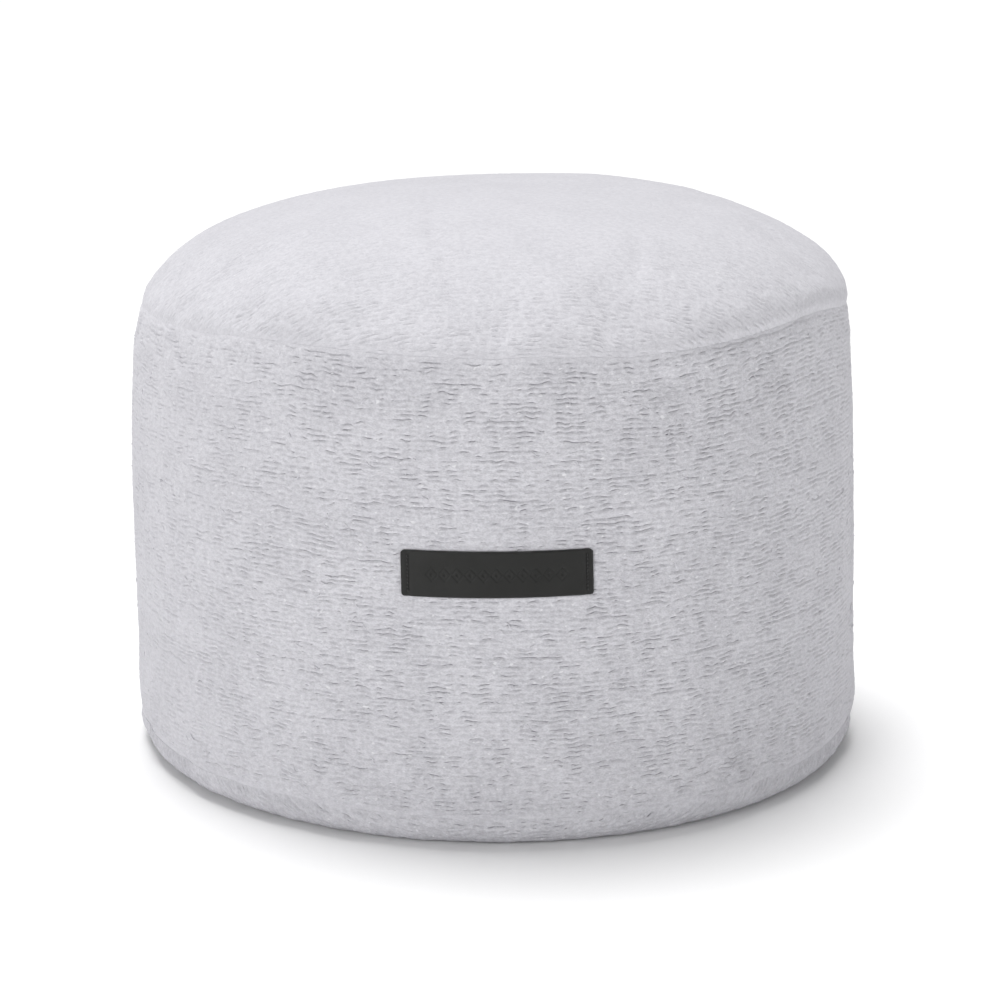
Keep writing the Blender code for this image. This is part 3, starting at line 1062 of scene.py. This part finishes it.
@dataclass
class SidePanel:
    """The side strip: its ground cloth, and its woven face with the weft running round the drum.

    Attributes:
        surface: The settled wall.
        weave: How the cloth is woven.
        patch: The patch's azimuth, height share, half width and half height, under which the weave is flat.
        smoothed: Azimuth, spread (degrees) and share of relief lost where the cloth is pulled smooth.
    """

    surface: PanelSurface
    weave: Weave
    patch: tuple[float, float, float, float]
    smoothed: Bells = ((-75.0, 42.0, 0.48), (80.0, 36.0, 0.42), (180.0, 50.0, 0.20))
    bands: int = 3
    # depth and spread of what the closing seam draws in
    closing_draw: tuple[float, float] = (0.0022, 0.0028)
    ground_grid: tuple[int, int] = (220, 44)
    seed: int = 100

    @property
    def girth(self) -> float:
        """Flat length of the strip."""
        return TAU * DrumForm().full_radius

    def relief(self, azimuth: Array, height: Array) -> Array:
        """Share of relief: less where the cloth is pulled smooth, at seams and under the patch."""
        edge = np.minimum(height, self.surface.length - height)
        share = 0.6 + 0.4 * smooth_step(0.0, 0.005, edge)
        for centre, spread, loss in self.smoothed:
            off = np.degrees(turn_between(azimuth, math.radians(centre)))
            share = share * (1.0 - loss * np.exp(-((off / spread) ** 2)))
        back = np.abs(turn_between(azimuth, math.pi)) * DrumForm().full_radius
        centre, middle, half_width, half_height = self.patch
        u = np.abs(turn_between(azimuth, centre)) * DrumForm().full_radius - half_width
        v = np.abs(height - middle * self.surface.length) - half_height
        outside = np.maximum(smooth_step(-0.0015, 0.0012, u), smooth_step(-0.0015, 0.0012, v))
        return share * (0.3 + 0.7 * smooth_step(0.0, 0.004, back)) * (0.12 + 0.88 * outside)

    def sink(self, azimuth: Array) -> Array:
        """How far the closing seam at the back draws the cloth in: a narrow bell."""
        back = turn_between(azimuth, math.pi) * DrumForm().full_radius
        return self.closing_draw[0] * np.exp(-((back / self.closing_draw[1]) ** 2))

    def ground(self, cloth: bpy.types.Material) -> bpy.types.Object:
        """Make the ground cloth: the wall as a grid, closed below and above inside the cover."""
        columns, rows = self.ground_grid
        azimuth = np.linspace(-math.pi, math.pi, columns, endpoint=False)
        share = np.linspace(0.0, 1.0, rows)
        grid_a, grid_s = np.meshgrid(azimuth, share)
        points, normals = self.surface.at(grid_a, grid_s)
        points = points - normals * (self.weave.ground + self.sink(grid_a))[..., None]
        number = np.arange(rows * columns).reshape(rows, columns)
        caps = [points[0].mean(0), points[-1].mean(0)]
        points = np.concatenate([points.reshape(-1, 3), caps])
        mesh = new_mesh("side_cloth", points, closed_tube(number, outward=True))
        flat = np.stack([grid_a * self.girth / TAU, grid_s * self.surface.length], axis=-1).reshape(-1, 2)
        flat = np.concatenate([flat, [[0.0, 0.0], [0.0, 0.0]]])
        set_point_uv(mesh, "cloth", flat)
        # painted shade: a crest of 0.6 mixes some of the gaps' dark colour into the ground cloth, which lies
        # in shade under the yarns
        set_mask(mesh, "crest", np.full(len(flat), 0.6))
        set_mask(mesh, "loft", np.full(len(flat), 0.5))
        piece = add_piece(mesh, cloth, Slot.CLOTH, "side_panel")
        return piece

    def face(self, cloth: bpy.types.Material) -> None:
        """Lay the woven face, in bands up the wall that are a piece each."""
        count = int(round(self.surface.length / self.weave.pitch))
        scale = self.surface.length / (count * self.weave.pitch)
        steps = int(round(self.girth / self.weave.step / 4)) * 4
        along = np.arange(steps)[None, :] / steps * self.girth
        azimuth = along / self.girth * TAU - math.pi
        for band, chosen in enumerate(np.array_split(np.arange(count), self.bands)):
            first, rows = int(chosen[0]), len(chosen)
            gap_along, row_along = np.repeat(along, rows + 1, axis=0), np.repeat(along, rows, axis=0)
            across, height, crest = self.weave.lines(first, gap_along, row_along, self.seed)
            across = np.clip(across * scale, 0.0, self.surface.length)
            if band == 0:
                across[0] = 0.0
            if band == self.bands - 1:
                across[-1] = self.surface.length
            grid_a = np.repeat(azimuth, len(across), axis=0)
            loft = self.relief(grid_a, across)
            points, normals = self.surface.at(grid_a, across / self.surface.length)
            sink = self.sink(grid_a)
            deep = (self.weave.tuck + sink)[..., None]
            back = np.stack([points[k] - normals[k] * deep[k] for k in (0, -1)])
            points = points + normals * (height * loft - sink)[..., None]
            flat_u = np.repeat(np.arange(steps + 1)[None, :] / steps * self.girth, len(across), axis=0)
            flat = np.stack([flat_u, np.concatenate([across, across[:, :1]], axis=1)], axis=-1)
            # the crest carries the gaps' painted shade, which fades with the share of relief
            skin = Skin(points, flat, 1.0 - (1.0 - crest) * loft, loft, ring=True, sheets=4)
            add_piece(skin.mesh(f"side_weave_{band + 1}", back), cloth, Slot.CLOTH)


@dataclass
class RoundPanel:
    """The top or the base panel: a round cut whose weft runs straight across it.

    Attributes:
        panel: Which panel.
        surface: The settled panel.
        weave: How the cloth is woven.
        replaced: The solid that its ground cloth stands for.
        middle_relief: Share of relief in the middle of the panel.
        edge_relief: Share of relief near its seam.
        foot_steps: Points along the foot's rows at the front and back, and at the sides.
    """

    panel: Panel
    surface: PanelSurface
    weave: Weave
    replaced: str
    middle_relief: float = 1.0
    edge_relief: float = 1.0
    foot_steps: tuple[int, int] = (110, 22)
    ground_grid: tuple[int, int] = (220, 40)
    seed: int = 300

    def relief(self, distance: Array) -> Array:
        """Share of relief: one value in the middle, another on the shoulder, and less at the seam."""
        reach = self.surface.length
        outwards = smooth_step(0.5, 0.95, distance / reach)
        shoulder = self.middle_relief + (self.edge_relief - self.middle_relief) * outwards
        return shoulder * (0.6 + 0.4 * smooth_step(0.0, 0.005, reach - distance))

    def ground(self, cloth: bpy.types.Material) -> bpy.types.Object:
        """Make the ground cloth: rings about the middle, closed across the inside of the cover."""
        columns, rows = self.ground_grid
        azimuth = np.linspace(-math.pi, math.pi, columns, endpoint=False)
        share = np.linspace(0.0, 1.0, rows)[1:]
        grid_a, grid_s = np.meshgrid(azimuth, share)
        points, normals = self.surface.at(grid_a, grid_s)
        depth = np.full(grid_a.shape, self.weave.ground)
        if self.panel is Panel.BASE:
            depth = depth * smooth_step(0.0, 0.004, points[..., 2])
        points = points - normals * depth[..., None]
        number = np.arange(points.shape[0] * columns).reshape(-1, columns)
        up = self.panel is Panel.TOP
        sunk = self.weave.ground if up else 0.0
        centre = self.surface.points[0].mean(0) - self.surface.normals[0, 0] * sunk
        ends = [centre, points[-1].mean(0)]
        points = np.concatenate([points.reshape(-1, 3), ends])
        mesh = new_mesh(f"{self.panel.value}_cloth", points, closed_tube(number, outward=not up))
        distance = grid_s * self.surface.length
        flat = np.stack([np.sin(grid_a) * distance, -np.cos(grid_a) * distance], axis=-1).reshape(-1, 2)
        flat = np.concatenate([flat, [[0.0, 0.0], [0.0, 0.0]]])
        set_point_uv(mesh, "cloth", flat)
        set_mask(mesh, "crest", np.full(len(flat), 1.0))
        set_mask(mesh, "loft", np.full(len(flat), 0.6))
        piece = add_piece(mesh, cloth, Slot.CLOTH, self.replaced)
        return piece

    def stretch(
        self, name: str, first: int, ends: Array, steps: int, cloth: bpy.types.Material
    ) -> None:
        """Lay one stretch of straight rows.

        Args:
            name: The piece's name.
            first: Number of the first gap, counted from the panel's middle.
            ends: First and last place along X of each gap, two columns.
            steps: Points along each row.
            cloth: The finish.
        """
        share = np.linspace(0.0, 1.0, steps)[None, :]
        gap_x = ends[:, :1] + (ends[:, 1:] - ends[:, :1]) * share
        row_x = 0.5 * (gap_x[1:] + gap_x[:-1])
        y, height, crest = self.weave.lines(first, gap_x, row_x, self.seed)
        y = y * self.row_scale()
        x = np.empty_like(y)
        x[0::3] = gap_x
        x[1::3], x[2::3] = gap_x[:-1] * 0.73 + gap_x[1:] * 0.27, gap_x[:-1] * 0.27 + gap_x[1:] * 0.73
        reach = self.surface.length
        distance = np.hypot(x, y)
        fit = np.minimum(1.0, reach / np.maximum(distance, 1e-9))
        x, y, distance = x * fit, y * fit, np.minimum(distance, reach)
        for column in (0, -1):
            at_seam = np.abs(distance[:, column] - reach) < 0.002
            grow = np.where(at_seam, reach / np.maximum(distance[:, column], 1e-9), 1.0)
            x[:, column], y[:, column] = x[:, column] * grow, y[:, column] * grow
            distance[:, column] = distance[:, column] * grow
        loft = self.relief(distance)
        points, normals = self.surface.at(np.arctan2(x, -y), distance / reach)
        lifted = height * loft
        if self.panel is Panel.BASE:
            lifted = lifted * smooth_step(0.0, 0.003, points[..., 2])
        points = points + normals * lifted[..., None]
        flat = np.stack([x, y], axis=-1)
        if self.panel is Panel.BASE:
            points[..., 2] = np.maximum(points[..., 2], 0.0)
            points, flat, crest, loft = (grid[:, ::-1] for grid in (points, flat, crest, loft))
        middle = points.reshape(-1, 3).mean(0)
        inwards = 0.006 if self.panel is Panel.TOP else -0.006
        middle = middle * np.array([0.9, 0.9, 1.0]) - np.array([0.0, 0.0, inwards])
        # the crest carries the gaps' painted shade, which fades with the share of relief
        skin = Skin(points, flat, 1.0 - (1.0 - crest) * loft, loft, ring=False)
        add_piece(skin.mesh(name, middle[None, :]), cloth, Slot.CLOTH)

    def row_count(self) -> int:
        """Rows from the panel's middle to its seam."""
        return int(self.surface.length / self.weave.pitch)

    def row_scale(self) -> float:
        """Stretch of the weave that lets a whole number of rows end at the seam."""
        return (self.surface.length - 0.0001) / (self.row_count() * self.weave.pitch)

    @staticmethod
    def half(y: Array, radius: float) -> Array:
        """Half of the chord at y of a circle."""
        return np.sqrt(np.maximum(radius * radius - y * y, 0.0))

    def face(self, cloth: bpy.types.Material) -> None:
        """Lay the whole face in two halves, for the top."""
        reach, pitch = self.surface.length, self.weave.pitch * self.row_scale()
        count = self.row_count()
        steps = int(2.0 * reach / self.weave.step)
        for name, first in (("top_weave_front", -count), ("top_weave_back", 0)):
            y = (first + np.arange(count + 1)) * pitch
            half = self.half(y, reach)
            self.stretch(name, first, np.stack([-half, half], axis=1), steps, cloth)

    def foot_face(self, inner: float, cloth: bpy.types.Material) -> None:
        """Lay the face outside the flat radius that rests on the floor: front, back, left and right.

        Args:
            inner: Flat radius of the part that rests on the floor.
            cloth: The finish.
        """
        reach, pitch = self.surface.length, self.weave.pitch * self.row_scale()
        count, hidden = self.row_count(), int(inner / pitch)
        long_steps, short_steps = self.foot_steps
        for name, first in (("base_weave_front", -count), ("base_weave_back", hidden)):
            y = (first + np.arange(count - hidden + 1)) * pitch
            half = self.half(y, reach)
            self.stretch(name, first, np.stack([-half, half], axis=1), long_steps, cloth)
        y = (-hidden + np.arange(2 * hidden + 1)) * pitch
        near, far = self.half(y, inner), self.half(y, reach)
        self.stretch("base_weave_right", -hidden, np.stack([near, far], axis=1), short_steps, cloth)
        self.stretch("base_weave_left", -hidden, np.stack([-far, -near], axis=1), short_steps, cloth)


@dataclass
class Curls:
    """Loose curls of yarn that stand out of the face here and there: short arched tubes with pinched ends.

    Attributes:
        name: The piece's name.
        surface: The panel that they lie on.
        count: How many.
        seed: Which random curls.
        rings: Rings of points along each, and sides the points round it.
    """

    name: str
    surface: PanelSurface
    count: int
    seed: int
    rings: int = 7
    sides: int = 5

    def build(self, cloth: bpy.types.Material, flat: Array, turn: Array, relief: Array) -> None:
        """Make them.

        Each follows a shallow S across its place, swells as a half sine, and rises in the middle as one.

        Args:
            cloth: The finish.
            flat: Azimuth and share of the profile of each curl.
            turn: Which way each lies from the weft's direction, in radians.
            relief: Share of full size of each.
        """
        rng = np.random.default_rng(self.seed)
        n, reach = self.count, DrumForm().full_radius
        length = rng.uniform(0.0032, 0.0075, n) * (0.7 + 0.3 * relief)
        thick = rng.uniform(0.00038, 0.00062, n) * (0.6 + 0.4 * relief)
        bend = rng.uniform(-0.0010, 0.0010, n)
        t = np.linspace(0.0, 1.0, self.rings)
        along = (t[None, :] - 0.5) * length[:, None]
        aside = np.sin(t * TAU)[None, :] * bend[:, None]
        swell = np.sqrt(np.clip(np.sin(t * math.pi), 0.06, 1.0))[None, :] * thick[:, None]
        angle = np.linspace(0.0, TAU, self.sides, endpoint=False)
        side = aside[..., None] + swell[..., None] * np.cos(angle)
        arch = (np.sin(t * math.pi) * 0.9 - 0.1)[None, :, None] * thick[:, None, None]
        up = arch + swell[..., None] * np.sin(angle)
        along = np.repeat(along[..., None], self.sides, axis=2)
        cos_t, sin_t = np.cos(turn)[:, None, None], np.sin(turn)[:, None, None]
        u, v = along * cos_t - side * sin_t, along * sin_t + side * cos_t
        azimuth = flat[:, 0, None, None] + u / reach
        share = np.clip(flat[:, 1, None, None] + v / self.surface.length, 0.0, 1.0)
        points, normals = self.surface.at(azimuth, share)
        points = points + normals * (up + 0.00035 * relief[:, None, None])[..., None]
        number = np.arange(points.shape[0] * self.rings * self.sides).reshape(n, self.rings, self.sides)
        after = np.roll(number, -1, axis=2)
        quads = np.stack([after[:, :-1], after[:, 1:], number[:, 1:], number[:, :-1]], axis=-1)
        quads = quads.reshape(-1, 4)
        mesh = new_mesh(self.name, points.reshape(-1, 3), [quads, number[:, 0, ::-1], number[:, -1]])
        place = np.stack([azimuth * reach, share * self.surface.length], axis=-1).reshape(-1, 2)
        set_point_uv(mesh, "cloth", place)
        set_mask(mesh, "crest", np.full(len(place), 1.0))
        set_mask(mesh, "loft", np.repeat(relief, self.rings * self.sides))
        add_piece(mesh, cloth, Slot.CLOTH)


# ---------------------------------------- the patch
@dataclass
class FrontPatch:
    """The leather patch, sewn on by its two short ends, with a plain line of pressed lozenges.

    Attributes:
        surface: The wall that it lies on.
        width: Along the wall.
        tall: Up the wall.
        azimuth: Where its middle is.
        middle: Height of its middle, as a share of the wall's length.
    """

    surface: PanelSurface
    azimuth: float
    middle: float
    width: float = 0.1165
    tall: float = 0.0285
    thickness: float = 0.0016
    corner: float = 0.0026
    turn: float = math.radians(0.35)
    grid: tuple[int, int] = (220, 55)
    stitches: int = 10
    stitch_pitch: float = 0.00232
    stitch_inset: tuple[float, float] = (0.0044, 0.0038)
    lozenges: int = 11
    lozenge_pitch: float = 0.0078
    seed: int = 500

    def lay(self, x: Array, y: Array, lift: Array) -> Array:
        """Carry flat places of the patch, and their heights above the cloth, to the wall.

        The flat place is turned a little, then wrapped: along the wall as an azimuth, up it as
        a share of its length.
        """
        across = x * math.cos(self.turn) - y * math.sin(self.turn)
        up = x * math.sin(self.turn) + y * math.cos(self.turn)
        azimuth = self.azimuth + across / DrumForm().full_radius
        share = self.middle + up / self.surface.length
        points, normals = self.surface.at(azimuth, share)
        return points + normals * lift[..., None]

    def pressed(self, x: Array, y: Array) -> Array:
        """Depth of the pressed ornament from 0 to 1: outlines of lozenges, with a dot in each."""
        pitch = self.lozenge_pitch
        count = self.lozenges
        cell = (x + pitch * count / 2) / pitch
        inside = (cell > 0) & (cell < count)
        local = (cell - np.floor(cell) - 0.5) * pitch
        ring = np.abs(np.abs(local) / 0.0036 + np.abs(y) / 0.0042 - 1.0) * 0.0028
        dot = np.abs(local) / 0.0010 + np.abs(y) / 0.0012 - 1.0
        line = 1.0 - smooth_step(0.00012, 0.00048, ring)
        spot = 1.0 - smooth_step(-0.2, 0.4, dot)
        return np.where(inside, np.maximum(line, spot), 0.0)

    def stitch_places(self) -> Array:
        """Flat places of the stitches: a column at each end."""
        up = (np.arange(self.stitches) - (self.stitches - 1) / 2) * self.stitch_pitch
        left = np.stack([np.full_like(up, -self.width / 2 + self.stitch_inset[0]), up], axis=1)
        right = np.stack([np.full_like(up, self.width / 2 - self.stitch_inset[1]), up], axis=1)
        return np.concatenate([left, right])

    def height(self, x: Array, y: Array) -> Array:
        """Height of the patch's face above the wall.

        It stands proud in the middle, dips along the two sewn columns and at each stitch hole, bears the
        pressed ornament, and has a rounded rim.
        """
        body = 0.0006 + self.thickness
        bulge = 0.0005 * np.cos(np.clip(x / (self.width / 2), -1, 1) * math.pi / 2) ** 0.5
        columns = self.stitch_places()
        pull = np.zeros_like(x)
        for side in (0, self.stitches):
            at = columns[side, 0]
            pull = pull + 0.00045 * np.exp(-(((x - at) / 0.0016) ** 2))
        holes = np.zeros_like(x)
        for hx, hy in columns:
            off_x, off_y = (x - hx) / 0.0005, (y - hy - self.stitch_pitch / 2) / 0.0004
            holes = np.maximum(holes, np.exp(-(off_x**2) - off_y**2))
        edge = np.minimum(self.width / 2 - np.abs(x), self.tall / 2 - np.abs(y))
        near = np.clip(edge / 0.0009, 0.0, 1.0)
        rim = 0.0007 * (1.0 - np.sqrt(near * (2.0 - near)))
        return body + bulge - pull - 0.0004 * holes - 0.00045 * self.pressed(x, y) - rim

    def body(self, leather: bpy.types.Material) -> bpy.types.Object:
        """Make the patch: its face as a fine grid with round corners, its rim, and a back in one face."""
        columns, rows = self.grid
        u = np.linspace(-1.0, 1.0, columns) * self.width / 2
        v = np.linspace(-1.0, 1.0, rows) * self.tall / 2
        x, y = np.meshgrid(u, v)
        past_x = np.maximum(np.abs(x) - (self.width / 2 - self.corner), 0.0)
        past_y = np.maximum(np.abs(y) - (self.tall / 2 - self.corner), 0.0)
        reach = np.maximum(past_x, past_y) / np.maximum(np.hypot(past_x, past_y), 1e-9)
        both = (past_x > 0) & (past_y > 0)
        draw = np.where(both, reach, 1.0)
        x = np.sign(x) * (np.abs(x) - past_x + past_x * draw)
        y = np.sign(y) * (np.abs(y) - past_y + past_y * draw)
        face = self.lay(x, y, self.height(x, y))
        number = np.arange(rows * columns).reshape(rows, columns)
        faces = [quads_between(number[k], number[k + 1], False) for k in range(rows - 1)]
        rim = np.concatenate([number[0], number[1:, -1], number[-1, -2::-1], number[-2:0:-1, 0]])
        rim_x, rim_y = x.ravel()[rim], y.ravel()[rim]
        back = self.lay(rim_x, rim_y, np.full(len(rim), 0.0001))
        lower = rows * columns + np.arange(len(rim))
        faces.append(quads_between(lower, rim, True))
        faces.append(lower[::-1][None, :])
        mesh = new_mesh("front_patch_leather", np.concatenate([face.reshape(-1, 3), back]), faces)
        flat = np.concatenate([np.stack([x.ravel(), y.ravel()], 1), np.stack([rim_x, rim_y], 1)])
        set_point_uv(mesh, "cloth", flat)
        set_point_uv(mesh, "OFBake", flat / np.array([self.width, self.tall]) * 0.96 + 0.5)
        edge = np.minimum(self.width / 2 - np.abs(flat[:, 0]), self.tall / 2 - np.abs(flat[:, 1]))
        set_mask(mesh, "edge", 1.0 - smooth_step(0.0, 0.0012, edge))
        piece = add_piece(mesh, leather, Slot.LEATHER, "front_patch")
        return piece

    def thread(self, thread: bpy.types.Material) -> bpy.types.Object:
        """Make the stitches: short arched capsules of thread, each a ring carried along a half circle."""
        rings, sides = 9, 8
        turn = np.linspace(0.0, math.pi, rings)
        length, rise, thick = 0.00092, 0.00042, 0.00036
        line_y = -np.cos(turn) * length
        line_z = np.sin(turn) * rise
        swell = thick * np.sqrt(np.clip(np.sin(turn), 0.02, 1.0))
        angle = np.linspace(0.0, TAU, sides, endpoint=False)
        ring_x = swell[:, None] * np.cos(angle)
        ring_z = line_z[:, None] + swell[:, None] * np.sin(angle)
        ring_y = np.repeat(line_y[:, None], sides, axis=1)
        rng = np.random.default_rng(self.seed)
        points, faces, count = [], [], 0
        for x, y in self.stitch_places():
            slant = rng.uniform(-0.12, 0.12)
            px = x + ring_x + ring_y * slant
            py = y + ring_y
            seat = self.height(np.full_like(px, x), np.full_like(py, y))
            points.append(self.lay(px, py, seat + ring_z).reshape(-1, 3))
            number = count + np.arange(rings * sides).reshape(rings, sides)
            faces += [quads_between(number[k + 1], number[k], True) for k in range(rings - 1)]
            faces += [number[0][None, :], number[-1][::-1][None, :]]
            count += rings * sides
        mesh = new_mesh("front_patch_stitches", np.concatenate(points), faces)
        return add_piece(mesh, thread, Slot.LEATHER)


# ---------------------------------------- studio
@dataclass(frozen=True)
class Studio:
    """Pale floor, soft light from above and both sides, and the camera in front, above the crown."""

    camera_distance: float = 1.6382
    camera_height: float = 0.5656
    camera_side: float = 0.0018
    pitch: float = 0.2422
    lens: float = 86.54
    surround: float = 0.24
    overhead: float = 2.95
    overhead_spread: float = 34.0
    overhead_from: Place = (-0.10, 0.24, 1.0)
    lamps_aim: Place = (0.0, 0.0, 0.2)
    floor_half: float = 80.0
    floor_tone: Tint = (0.93, 0.93, 0.93, 1.0)
    # name, place, size, power
    lamps: tuple[tuple[str, Place, float, float], ...] = (
        ("key", (-1.5, -2.1, 0.95), 1.3, 25.0),
        ("fill", (2.2, -1.6, 0.80), 1.3, 13.0))

    def floor(self) -> None:
        """Lay a plain pale floor."""
        half = self.floor_half
        points = np.array([[-half, -half, 0.0], [half, -half, 0.0], [half, half, 0.0], [-half, half, 0.0]])
        mesh = new_mesh("studio_floor", points, [np.array([[0, 1, 2, 3]])])
        material, _, shader = new_material("pale_floor")
        shader.inputs["Base Color"].default_value = self.floor_tone
        shader.inputs["Roughness"].default_value = 0.9
        shader.inputs["Specular IOR Level"].default_value = 0.1
        mesh.materials.append(material)
        floor = bpy.data.objects.new("studio_floor", mesh)
        bpy.context.scene.collection.objects.link(floor)

    def light(self) -> None:
        """Light the scene: a broad sun above, a low soft lamp on each side and a dim surround."""
        world = bpy.data.worlds.new("studio")
        world.use_nodes = True
        world.node_tree.nodes["Background"].inputs["Color"].default_value = (1.0, 1.0, 1.0, 1.0)
        world.node_tree.nodes["Background"].inputs["Strength"].default_value = self.surround
        bpy.context.scene.world = world
        sun = bpy.data.lights.new("overhead", "SUN")
        sun.energy = self.overhead
        sun.angle = math.radians(self.overhead_spread)
        self.aim(sun, self.overhead_from, (0.0, 0.0, 0.0))
        for name, place, size, power in self.lamps:
            lamp = bpy.data.lights.new(name, "AREA")
            lamp.shape = "DISK"
            lamp.size = size
            lamp.energy = power
            self.aim(lamp, place, self.lamps_aim)

    @staticmethod
    def aim(lamp: bpy.types.Light, place: Place, target: Place) -> None:
        """Stand a lamp at a place and turn it to a target."""
        thing = bpy.data.objects.new(lamp.name, lamp)
        thing.location = place
        thing.rotation_euler = (Vector(target) - Vector(place)).to_track_quat("-Z", "Y").to_euler()
        bpy.context.scene.collection.objects.link(thing)

    def camera(self) -> None:
        """Stand the camera and aim it."""
        data = bpy.data.cameras.new("camera")
        data.lens = self.lens
        data.sensor_width = 36.0
        data.clip_start, data.clip_end = 0.05, 120.0
        camera = bpy.data.objects.new("camera", data)
        camera.location = (self.camera_side, -self.camera_distance, self.camera_height)
        camera.rotation_euler = (math.pi / 2 - self.pitch, 0.0, 0.0)
        bpy.context.scene.collection.objects.link(camera)
        bpy.context.scene.camera = camera
        bpy.context.scene.view_settings.view_transform = "Standard"


@dataclass
class Footstool:
    """The whole footstool, built panel by panel."""

    form: DrumForm = field(default_factory=DrumForm)
    weave: Weave = field(default_factory=Weave)
    # how far along X the patch is laid from its packed place, before the form leans
    patch_shift: float = 0.0025
    curl_count: int = 900
    curl_seed: int = 611
    curl_least_relief: float = 0.3
    curl_turn: float = 0.45

    def build(self) -> None:
        """Simulate the cover, then make every piece and dress it."""
        tone, relief = YarnTone().group(), FibreRelief().group()
        cloth = BoucleFinish().material(tone, relief)
        leather, thread = LeatherFinish().material(), ThreadFinish().material()
        pucker = CoverSimulation().run(self.form)
        top, side, base = (PanelSurface.shaped(self.form, panel, pucker[panel])
                           for panel in (Panel.TOP, Panel.SIDE, Panel.BASE))
        low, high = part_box("front_patch")
        centre = (low + high) / 2
        azimuth = math.asin((centre.x + self.patch_shift) / self.form.full_radius)
        middle = (centre.z - self.form.base_seam[1]) / (self.form.top_seam[1] - self.form.base_seam[1])
        patch = FrontPatch(side, azimuth, middle)
        strip = SidePanel(side, self.weave, (azimuth, middle, patch.width / 2, patch.tall / 2))
        strip.ground(cloth)
        strip.face(cloth)
        crown = RoundPanel(Panel.TOP, top, self.weave, "top_panel", middle_relief=0.30, edge_relief=0.55)
        crown.ground(cloth)
        crown.face(cloth)
        foot = RoundPanel(Panel.BASE, base, self.weave, "base_panel", seed=400)
        foot.ground(cloth)
        foot.foot_face(self.form.floor_radius, cloth)
        self.curls(strip, cloth)
        patch.body(leather)
        patch.thread(thread)

    def curls(self, strip: SidePanel, cloth: bpy.types.Material) -> None:
        """Scatter loose curls over the side, smaller where the cloth is smooth."""
        rng = np.random.default_rng(self.curl_seed)
        count = self.curl_count
        flat = np.stack([rng.uniform(-math.pi, math.pi, count), rng.uniform(0.02, 0.98, count)], axis=1)
        relief = strip.relief(flat[:, 0], flat[:, 1] * strip.surface.length)
        kept = relief > self.curl_least_relief
        flat, relief = flat[kept], relief[kept]
        turn = rng.normal(0.0, self.curl_turn, len(flat))
        curls = Curls("side_curls", strip.surface, len(flat), self.curl_seed + 1)
        curls.build(cloth, flat, turn, relief)


def main() -> None:
    """Build the studio and the footstool."""
    logging.basicConfig(level=logging.INFO, format="%(name)s: %(message)s")
    studio = Studio()
    studio.camera()
    studio.floor()
    studio.light()
    Footstool().build()


if __name__ == "__main__":
    main()
